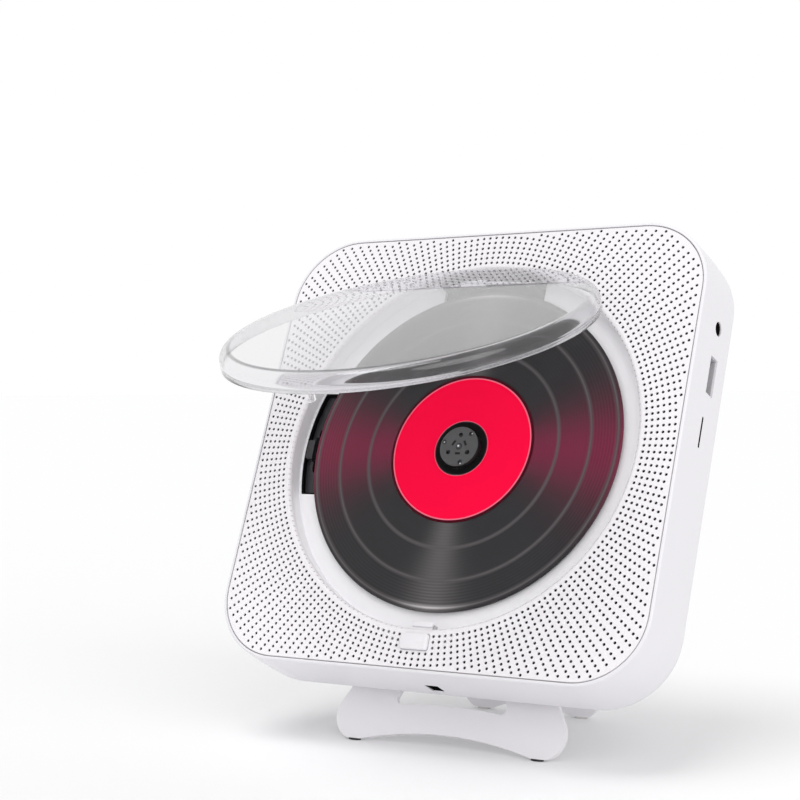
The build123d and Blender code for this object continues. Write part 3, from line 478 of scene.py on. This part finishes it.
def turn_profile(profile, sides, place, centre=(0.0, 0.0)):
    """Turns a closed (radius, depth) outline round the line through `centre`."""
    points, faces, rings = [], [], []
    for radius, depth in profile:
        ring = [centre] if radius < ON_AXIS else circle(radius, sides, centre=centre)
        rings.append(add_points(points, [place(x, up, depth) for x, up in ring]))
    for here, there in zip(rings, rings[1:] + rings[:1]):
        if len(here) == 1 and len(there) == 1:
            continue
        for step in range(sides):
            after = (step + 1) % sides
            if len(here) == 1:
                faces.append((here[0], there[step], there[after]))
            elif len(there) == 1:
                faces.append((here[step], there[0], here[after]))
            else:
                faces.append((here[step], there[step], there[after], here[after]))
    return points, faces


def add_points(points, places):
    """Adds places to a piece's points; returns their numbers."""
    first = len(points)
    points += places
    return list(range(first, len(points)))


def add_ring(points, loop, depth):
    """Adds a loop of (x, up) points at one depth."""
    return add_points(points, [on_face(x, up, depth) for x, up in loop])


def join_rings(faces, rings):
    """Walls from each ring of point numbers to the next."""
    for here, there in zip(rings, rings[1:]):
        for k in range(len(here)):
            after = (k + 1) % len(here)
            faces.append((here[k], here[after], there[after], there[k]))


def close_stack(faces, rings):
    """Walls between stacked rings, with a face across each end."""
    join_rings(faces, rings)
    faces += [tuple(reversed(rings[0])), tuple(rings[-1])]


def fill_between(loops):
    """Triangles of the sheet that lies inside the first loop and outside the others."""
    flat, owner, spans = [], [], []
    for number, loop in enumerate(loops):
        spans.append(add_points(flat, [Vector(point) for point in loop]))
        owner += [number] * len(loop)
    cut = delaunay_2d_cdt(flat, [], spans, 1, 1e-6, True)
    if len(cut[0]) != len(flat):
        raise RuntimeError("the loops of a sheet touch one another")
    source = [origins[0] for origins in cut[3]]
    sheet = []
    for triangle in cut[2]:
        a, b, c = (source[index] for index in triangle)
        owners = {owner[a], owner[b], owner[c]}
        if len(owners) == 1 and owners != {0}:
            continue
        anticlockwise = (flat[b] - flat[a]).cross(flat[c] - flat[a]) > 0
        sheet.append((a, b, c) if anticlockwise else (a, c, b))
    return flat, spans, sheet


def double_sheet(flat, sheet, depths):
    """Points and faces of a sheet's front and back; the back's numbers follow the front's."""
    count = len(flat)
    points = [on_face(point.x, point.y, depth) for depth in depths for point in flat]
    faces = []
    for a, b, c in sheet:
        faces += [(a, b, c), (a + count, c + count, b + count)]
    return points, faces


def at_back(span, count):
    """The ring on a double sheet's back that lies behind one on its front."""
    return [index + count for index in span]


def make_plate(name, loops, depths, material, body, stands_for=()):
    """A flat closed plate between two depths, with its holes."""
    flat, spans, sheet = fill_between(loops)
    points, faces = double_sheet(flat, sheet, depths)
    for span in spans:
        join_rings(faces, [span, at_back(span, len(flat))])
    return make_piece(name, points, faces, material, body, stands_for)


# ---------------------------------------------------------------- pierced front panel
PANEL_HALF = 81.1
PANEL_CORNER = 23.9
PANEL_DEEP = 2.0
SKIN_THICK = 0.45                       # thickness of the pierced sheet
EDGE_EASE = 0.15
LIP_OUT, LIP_IN = 68.75, 67.2           # radii of the rounded lip of the well
LIP_ROUND = LIP_OUT - LIP_IN
LIP_FOOT = 0.4                          # width of the lip's lower edge
LIP_SIDES = 400
HOLE_RADIUS, HOLE_SIDES = 0.55, 10
HOLES_PER_RING = 200
FIRST_RING, RING_STEP, RING_COUNT = 70.0, 2.0, 18
RIM_CLEAR = 0.8                         # left bare inside the panel's edge
BUTTON_CUT = (5.35, -74.95, -68.95)     # half width, lower and upper edge
BUTTON_CORNER = 0.9
BUTTON_CLEAR = 0.6                      # left bare round the button's opening
CLOTH_RADIUS, CLOTH_SIDES = 69.2, 240
CLOTH_DEPTHS = (SKIN_THICK + 0.03, SKIN_THICK + 0.3)
CLOTH_CLEAR = 0.6                       # from the cloth to the panel's edge and the button
CASE_INSIDE = 81.5
SEAM_DEPTHS = (0.55, 1.6)
SEAM_CLEAR = 0.03
PIN_RING, PIN_RADIUS, PIN_SIDES = 67.65, 0.3, 8
PIN_LIFTS = (-0.12, 0.02)               # the mark's foot, and its top, just proud of the lip


def inside_by(x, up):
    """How far a point of the panel lies inside its outline."""
    inner = PANEL_HALF - PANEL_CORNER
    across, along = abs(x) - inner, abs(up) - inner
    if across > 0 and along > 0:
        return PANEL_CORNER - math.hypot(across, along)
    return min(PANEL_HALF - abs(x), PANEL_HALF - abs(up))


def hole_places():
    half, bottom, top = BUTTON_CUT
    for ring in range(RING_COUNT):
        for x, up in circle(FIRST_RING + RING_STEP * ring, HOLES_PER_RING):
            at_button = (abs(x) < half + BUTTON_CLEAR
                         and bottom - BUTTON_CLEAR < up < top + BUTTON_CLEAR)
            if inside_by(x, up) > RIM_CLEAR and not at_button:
                yield x, up


def make_cloth():
    """The dark cloth right behind the holes, notched round the button."""
    half, bottom = BUTTON_CUT[0] + CLOTH_CLEAR, BUTTON_CUT[1] - CLOTH_CLEAR
    inner = [(x, up) for x, up in circle(CLOTH_RADIUS, CLOTH_SIDES, 0.5)
             if up > 0 or abs(x) >= half]
    after_notch = next(k for k, (x, up) in enumerate(inner) if up < 0 < x)
    inner[after_notch:after_notch] = [(-half, bottom), (half, bottom)]
    outer = rounded_square(PANEL_HALF - CLOTH_CLEAR, PANEL_CORNER - CLOTH_CLEAR)
    make_plate("hole_cloth", [outer, inner], CLOTH_DEPTHS, black_mesh, "player",
               ["grille_cloth"])


def make_seam():
    """The strip of grey in the joint between the panel and the case: painted shade of the joint."""
    points, faces = [], []
    reach = CASE_INSIDE - PANEL_HALF - SEAM_CLEAR
    inner = rounded_square(PANEL_HALF + SEAM_CLEAR, PANEL_CORNER + SEAM_CLEAR)
    outer = rounded_square(PANEL_HALF + reach, PANEL_CORNER + reach)
    front, back = SEAM_DEPTHS
    rings = [add_ring(points, loop, depth)
             for loop, depth in ((inner, front), (outer, front), (outer, back), (inner, back))]
    join_rings(faces, rings + rings[:1])
    make_piece("painted_seam_shade", points, faces, painted_seam_shade, "player")


def lip_depth(radius):
    """Depth of the lip's rounded surface at a radius."""
    away = LIP_OUT - radius
    return LIP_ROUND - math.sqrt(max(LIP_ROUND * LIP_ROUND - away * away, 0.0))


def make_pinholes():
    """The ring of grey pin marks on the rounded lip of the well: painted shade of its shallow pin
    holes.
    """
    points, faces = [], []
    for centre in circle(PIN_RING, HOLES_PER_RING):
        if abs(centre[0]) < BUTTON_CUT[0] + BUTTON_CLEAR and centre[1] < 0:
            continue
        mark = circle(PIN_RADIUS, PIN_SIDES, centre=centre)
        rings = [add_points(points, [on_face(x, up, lip_depth(math.hypot(x, up)) - lift)
                                     for x, up in mark]) for lift in PIN_LIFTS]
        close_stack(faces, rings)
    make_piece("lip_pinholes", points, faces, hole_shade, "player")


def make_front_panel():
    half, bottom, top = BUTTON_CUT
    button = rounded_oblong((BUTTON_CORNER - half, half - BUTTON_CORNER),
                            (bottom + BUTTON_CORNER, top - BUTTON_CORNER), BUTTON_CORNER, 3)
    face_edge = rounded_square(PANEL_HALF - EDGE_EASE, PANEL_CORNER - EDGE_EASE)
    holes = [circle(HOLE_RADIUS, HOLE_SIDES, 0.5, centre) for centre in hole_places()]
    flat, spans, sheet = fill_between([face_edge, circle(LIP_OUT, LIP_SIDES), button] + holes)
    count = len(flat)
    points, faces = double_sheet(flat, sheet, (0, SKIN_THICK))
    edge_span, lip_span, *opening_spans = spans
    for span in opening_spans:
        join_rings(faces, [span, at_back(span, count)])
    outline = rounded_square(PANEL_HALF, PANEL_CORNER)
    rim = [add_ring(points, outline, depth) for depth in (EDGE_EASE, PANEL_DEEP)]
    foot = add_ring(points, face_edge, PANEL_DEEP)
    join_rings(faces, [edge_span] + rim + [foot, at_back(edge_span, count)])
    lip = arc((LIP_OUT, LIP_ROUND), LIP_ROUND, -90, -180, 10)[1:]
    lip += [(LIP_IN, PANEL_DEEP), (LIP_IN + LIP_FOOT, PANEL_DEEP)]
    lip_rings = [add_ring(points, circle(radius, LIP_SIDES), depth) for radius, depth in lip]
    join_rings(faces, [lip_span] + lip_rings + [at_back(lip_span, count)])
    make_piece("pierced_panel", points, faces, white_panel, "player",
               ["front_panel"])


make_cloth()
make_seam()
make_pinholes()
make_front_panel()


# ---------------------------------------------------------------- clear lid
LID_SIDES = 256
LID_EASE = 0.15                         # small slopes at the rim's two edges
LID_RUN_IN = 0.3                        # flat strip beside each fold, so that it shades flat
EAR_RADIUS = 1.75
EAR_FOOT = [(2.2, 61.5), (4.0, 61.3)]
EAR_SPANS = {"left": (-17.0, -13.2), "right": (13.2, 17.0)}
CATCH_OUTLINE = [(3.9, -63.6), (3.9, -62.0), (6.3, -62.0), (6.3, -65.0), (5.5, -65.1),
                 (5.5, -63.6)]
CATCH_SPAN = (-0.6, 0.6)


def make_lid():
    bore = LID_RADIUS - LID_WALL
    inside_fold = bore - LID_INSIDE_ROUND
    hollow = LID_FRONT + LID_TOP
    profile = [(0.0, LID_FRONT), (LID_FOLD - LID_RUN_IN, LID_FRONT)]
    profile += arc((LID_FOLD, LID_FRONT + LID_ROUND), LID_ROUND, -90, 0, 14)
    profile += [(LID_RADIUS, LID_RIM - LID_EASE), (LID_RADIUS - LID_EASE, LID_RIM),
                (bore + LID_EASE, LID_RIM), (bore, LID_RIM - LID_EASE)]
    profile += arc((inside_fold, hollow + LID_INSIDE_ROUND), LID_INSIDE_ROUND, 0, -90, 10)
    profile += [(inside_fold - LID_RUN_IN, hollow), (0.0, hollow)]
    points, faces = turn_profile(profile, LID_SIDES, on_lid)
    lid_plane = []
    for radius, _ in profile:
        rises = [up for _, up in circle(1.0, LID_SIDES)] if radius > ON_AXIS else [0.0]
        lid_plane += [(radius / LID_RADIUS, 0.5 + 0.5 * rise) for rise in rises]
    make_piece("clear_lid", points, faces, clear_lid_zones, "lid", ["lid_cover"],
               sharp=50, flat_map=("lid_plane", lid_plane))


def make_lid_bar(name, outline, across):
    """A flat-sided bar on the lid: a (depth, up) outline drawn between two x positions."""
    points, faces = [], []
    ends = [add_points(points, [on_lid(x, up, depth) for depth, up in outline]) for x in across]
    close_stack(faces, ends)
    make_piece(name, points, faces, clear_lid_plastic, "lid")


make_lid()
ear_outline = EAR_FOOT + arc((HINGE_DEPTH, HINGE_UP), EAR_RADIUS, -100, 170, 18)
for side, ear_span in EAR_SPANS.items():
    make_lid_bar(f"lid_ear_{side}", ear_outline, ear_span)
make_lid_bar("lid_catch", CATCH_OUTLINE, CATCH_SPAN)


# ---------------------------------------------------------------- disc and label
DISC_SIDES = 240
DISC_BORE = 7.5
BORE_EASE, DISC_EASE = 0.2, 0.3
LABEL_BED = 0.12                        # how far the label's place is sunk into the face
LABEL_SOFT = 0.04


def make_disc():
    edge, bed = DISC_WIDTH / 2, DISC_FRONT + LABEL_BED
    profile = [
        (DISC_BORE, DISC_FRONT + BORE_EASE), (DISC_BORE + BORE_EASE, DISC_FRONT),
        (9.7, DISC_FRONT), (9.9, bed), (27.8, bed), (28.0, DISC_FRONT),
        (edge - DISC_EASE, DISC_FRONT), (edge, DISC_FRONT + DISC_EASE),
        (edge, DISC_BACK - DISC_EASE), (edge - DISC_EASE, DISC_BACK),
        (DISC_BORE + BORE_EASE, DISC_BACK), (DISC_BORE, DISC_BACK - BORE_EASE)]
    points, faces = turn_profile(profile, DISC_SIDES, on_face)
    disc_plane = [(0.5 + x / DISC_WIDTH, 0.5 + up / DISC_WIDTH)
                  for radius, _ in profile for x, up in circle(radius, DISC_SIDES)]
    make_piece("grooved_disc", points, faces, disc_black, "disc",
               ["compact_disc"], sharp=20, flat_map=("disc_plane", disc_plane))


def thin_ring(name, radii, depths, material, stands_for=()):
    """A flat ring laid on the disc, its edges just rounded."""
    (inner, outer), (front, back) = radii, depths
    soft = min(LABEL_SOFT, (outer - inner) / 4, (back - front) / 2)
    profile = [(inner, back), (inner, front + soft), (inner + soft, front),
               (outer - soft, front), (outer, front + soft), (outer, back)]
    points, faces = turn_profile(profile, DISC_SIDES, on_face)
    make_piece(name, points, faces, material, "disc", stands_for, sharp=25)


make_disc()
thin_ring("disc_middle", (7.75, 9.85), (4.76, 4.79), pure_black)
# the pale pink rims are a painted highlight
thin_ring("label_inner_rim", (10.2, 10.4), (4.7, 4.91), label_rim_painted_highlight)
thin_ring("red_label", (10.42, 26.3), (4.7, 4.91), label_red, ["disc_label"])
thin_ring("label_outer_rim", (26.32, 26.8), (4.68, 4.91), label_rim_painted_highlight)
# the dark outer ring is a painted shadow
thin_ring("label_outer_edge", (26.82, 27.75), (4.78, 4.91), label_edge_painted_shadow)


# ---------------------------------------------------------------- hub
CLAW_SPOKES = (50, 165, 285)            # degrees, anticlockwise from the right
CAP_SPOKES = (90, 210, 330)
SLOT_TURN = 60                          # from a small hole's spoke to the next slot
CAP_RADIUS, CAP_BORE, CAP_HOLE = 7.35, 1.2, 0.85
CAP_DEPTHS = (2.9, 3.08)
CLAW_HOLES_AT, SMALL_HOLES_AT, BEADS_AT = 6.1, 4.3, 6.5      # distances from the middle
SLOT_NEAR, SLOT_FAR, SLOT_HALF = 2.15, 3.05, 1.0


def cap_hole(away, spoke):
    return circle(CAP_HOLE, 16, centre=polar(away, math.radians(spoke)))


def cap_slot(spoke):
    """A short slot that lies across a spoke."""
    turn = math.radians(spoke)
    corners = oblong((SLOT_NEAR, SLOT_FAR), (-SLOT_HALF, SLOT_HALF))
    return [(away * math.cos(turn) - along * math.sin(turn),
             away * math.sin(turn) + along * math.cos(turn)) for away, along in corners]


def make_hub_cap():
    """The grey cap on the hub, with its small round holes and short slots."""
    loops = [circle(CAP_RADIUS, 96), circle(CAP_BORE, 24)]
    loops += [cap_hole(CLAW_HOLES_AT, spoke) for spoke in CLAW_SPOKES]
    for spoke in CAP_SPOKES:
        loops += [cap_hole(SMALL_HOLES_AT, spoke), cap_slot(spoke + SLOT_TURN)]
    make_plate("hub_cap", loops, CAP_DEPTHS, hub_grey, "turntable")


def make_bead(name, radius, middle, back, shoulder, sides, body, centre=(0.0, 0.0)):
    """A round steel tip about depth `middle`; its curve starts at the `shoulder` angle."""
    profile = [(0.0, middle - radius)] + arc((0.0, middle), radius, shoulder, 0, 3)
    profile += [(radius, back), (0.0, back)]
    points, faces = turn_profile(profile, sides, on_face, centre)
    make_piece(name, points, faces, steel, body)


make_hub_cap()
make_bead("spindle_tip", 0.4, middle=2.65, back=2.9, shoulder=-45, sides=20, body="turntable")
for number, spoke in enumerate(CLAW_SPOKES, start=1):
    make_bead(f"claw_bead_{number}", 0.35, middle=3.4, back=3.7, shoulder=-60, sides=16,
              body=f"claw_{number}", centre=polar(BEADS_AT, math.radians(spoke)))


# ---------------------------------------------------------------- window in the well's floor
WINDOW_RIGHT, WINDOW_UP, WINDOW_RADIUS = 32.0, (-18.0, 22.0), 66.4
WINDOW_STEPS = 24


def window_outline(inset):
    """The window in the well's floor, drawn `inset` inside its edge."""
    radius, right = WINDOW_RADIUS - inset, WINDOW_RIGHT - inset
    bottom, top = WINDOW_UP[0] + inset, WINDOW_UP[1] - inset
    first, last = math.asin(top / radius), math.asin(bottom / radius)
    turns = [first + (last - first) * step / WINDOW_STEPS for step in range(WINDOW_STEPS + 1)]
    bow = [(-radius * math.cos(turn), radius * math.sin(turn)) for turn in turns]
    return bow + [(right, bottom), (right, top)]


make_plate("window_gasket", [window_outline(0.04), window_outline(0.6)], (7.05, 8.85),
           pure_black, "player")
make_plate("window_tab", [oblong((-65.9, -63.1), (-3.6, 3.4))], (6.95, 7.35), tab_grey,
           "player")
make_plate("window_shade", [oblong((-63.0, -61.0), (-4.6, 4.6))], (7.3, 8.86), pure_black,
           "player")


# ---------------------------------------------------------------- liners, button and latch
LINER_WALL = 0.1
BOX_CORNER_STEPS = 6
SOFT_SHARE = 0.3                        # where the softened edge has its middle ring


def make_liner(name, half, ends, place):
    """A black sleeve that lines an opening; `place` turns (across, along, out) into a point."""
    points, faces, rings = [], [], []
    for shrink, out in ((0.0, ends[0]), (0.0, ends[1]), (LINER_WALL, ends[1]),
                        (LINER_WALL, ends[0])):
        a, b = half[0] - shrink, half[1] - shrink
        rings.append(add_points(points, [place(across, along, out)
                                         for across, along in oblong((-a, a), (-b, b))]))
    join_rings(faces, rings + rings[:1])
    make_piece(name, points, faces, pure_black, "player")


def soft_box(name, x, up, depth, corner, soft, material, body, stands_for=()):
    """A box with rounded corners and a softened front edge."""
    points, faces, rings = [], [], []
    x_ends, up_ends = [(low + corner, high - corner) for low, high in (x, up)]
    front, back = depth
    for inset, level in ((soft, front), (soft * SOFT_SHARE, front + soft * SOFT_SHARE),
                         (0.0, front + soft), (0.0, back)):
        loop = rounded_oblong(x_ends, up_ends, corner - inset, BOX_CORNER_STEPS)
        rings.append(add_ring(points, loop, level))
    close_stack(faces, rings)
    make_piece(name, points, faces, material, body, stands_for, sharp=50)


make_liner("card_liner", half=(0.58, 5.48), ends=(81.45, 83.44),
           place=lambda across, along, out: on_face(out, 10.0 + along, 13.1 + across))
make_liner("charge_liner", half=(2.58, 3.78), ends=(81.45, 83.28),
           place=lambda across, along, out: on_face(1.5 + across, -out, 17.4 + along))
soft_box("button_cap", (-5.2, 5.05), (-74.75, -69.1), (-1.5, 2.6), corner=0.9, soft=0.5,
         material=white_button, body="button", stands_for=["open_button"])
soft_box("button_flange", (-6.75, 6.75), (-76.0, -69.3), (2.72, 3.68), corner=0.5, soft=0.1,
         material=white_button, body="button")
soft_box("latch_tab", (-3.8, 4.0), (-65.98, -63.95), (2.5, 2.98), corner=0.35, soft=0.3,
         material=white_button, body="latch")
# painted shade: a grey block in the latch's slot, beside the tab
soft_box("latch_notch_shade", (4.05, 4.7), (-67.1, -65.0), (3.2, 5.0), corner=0.2, soft=0.1,
         material=hole_shade, body="player")


# ---------------------------------------------------------------- pads of the stand
PAD_SIDES = 32
PAD_MIDDLE = 1.8                        # from the pads' outer edge to their middle
PAD_RINGS = ((0.9, 0.0), (1.0, 0.12), (1.0, 0.58), (0.9, 0.7))      # share of width, height


def make_pad(name, x, near_front, half, material, stands_for=()):
    """An oval pad under one foot of the stand."""
    low, high = (Vector(corner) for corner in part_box("stand_pads"))
    y = low.y + PAD_MIDDLE * MM if near_front else high.y - PAD_MIDDLE * MM
    points, faces, rings = [], [], []
    for share, z in PAD_RINGS:
        rings.append(add_points(points, [
            Vector((x * MM + half[0] * share * dx * MM, y + half[1] * share * dy * MM,
                    low.z + z * MM)) for dx, dy in circle(1.0, PAD_SIDES)]))
    close_stack(faces, rings)
    make_piece(name, points, faces, material, "stand", stands_for)


make_pad("front_pad_left", -36.1, True, (2.4, 1.3), pad_rubber, ["stand_pads"])
make_pad("front_pad_right", 36.1, True, (2.4, 1.3), pad_rubber)
make_pad("rear_pad_left", -20.4, False, (2.6, 1.4), pale_nylon)
make_pad("rear_pad_right", 20.4, False, (2.6, 1.4), pale_nylon)


# ---------------------------------------------------------------- floor, light and camera
FLOOR_REACH = 6.0                       # metres each way
FLOOR_ROUGHNESS = 0.9
CAMERA_FROM_DISC = (285.9, -526.9, 28.4)
CAMERA_RIGHT = (0.84824, 0.52932, -0.01788)
CAMERA_UPWARD = (-0.02523, 0.07410, 0.99694)
CAMERA_BACKWARD = (0.52901, -0.84518, 0.07622)


def make_floor():
    material, tree, surface = start_material("white_floor")
    texture = place_group(tree, GRAIN, {
        "Colour": (0.94, 0.94, 0.945, 1), "Clouding": 0.0, "Grain Size": 2.0,
        "Gloss": FLOOR_ROUGHNESS, "Gloss Spread": 0.0})
    link_up(tree, {"Base Color": (texture, "Colour"), "Roughness": FLOOR_ROUGHNESS,
                   "Specular IOR Level": 0.0}, surface)
    mesh = bpy.data.meshes.new("floor")
    ends = (-FLOOR_REACH, FLOOR_REACH)
    mesh.from_pydata([(x, y, 0) for x, y in oblong(ends, ends)], [], [(0, 1, 2, 3)])
    mesh.materials.append(material)
    floor = bpy.data.objects.new("floor", mesh)
    bpy.context.scene.collection.objects.link(floor)


def make_world(strength):
    """White where the camera, gloss and glass see it, and softer as a light."""
    world = bpy.data.worlds.new("white_room")
    bpy.context.scene.world = world
    world.use_nodes = True
    tree = world.node_tree
    path = add_node(tree, "ShaderNodeLightPath")
    seen = calc(tree, "MAXIMUM", (path, "Is Camera Ray"),
                calc(tree, "MAXIMUM", (path, "Is Glossy Ray"), (path, "Is Transmission Ray")))
    level = calc(tree, "MULTIPLY_ADD", seen, 1.0 - strength, strength)
    link_up(tree, {"Color": (1.0, 1.0, 1.0, 1.0), "Strength": level}, tree.nodes["Background"])


def make_softbox(name, strength, spread, aim):
    """A wide soft lamp far away that shines along `aim`; its spread is in degrees."""
    light = bpy.data.lights.new(name, "SUN")
    light.energy = strength
    light.angle = math.radians(spread)
    lamp = bpy.data.objects.new(name, light)
    lamp.rotation_euler = Vector(aim).to_track_quat("-Z", "Y").to_euler()
    bpy.context.scene.collection.objects.link(lamp)


def make_camera():
    data = bpy.data.cameras.new("photo_camera")
    data.sensor_width = 36.0
    data.lens = 77.336
    data.shift_x = 0.0635
    data.shift_y = 0.1184
    data.clip_start = 0.01
    camera = bpy.data.objects.new("photo_camera", data)
    turn = Matrix((CAMERA_RIGHT, CAMERA_UPWARD, CAMERA_BACKWARD)).transposed().to_4x4()
    place = DISC_CENTRE + Vector(CAMERA_FROM_DISC) * MM
    camera.matrix_world = Matrix.Translation(place) @ turn
    bpy.context.scene.collection.objects.link(camera)
    bpy.context.scene.camera = camera


make_floor()
make_world(strength=0.66)
make_softbox("overhead_softbox", strength=0.85, spread=32, aim=(0.15, 0.35, -1.0))
make_softbox("right_softbox", strength=0.9, spread=50, aim=(-0.75, 0.6, -0.55))
make_camera()
bpy.context.scene.view_settings.view_transform = "Standard"
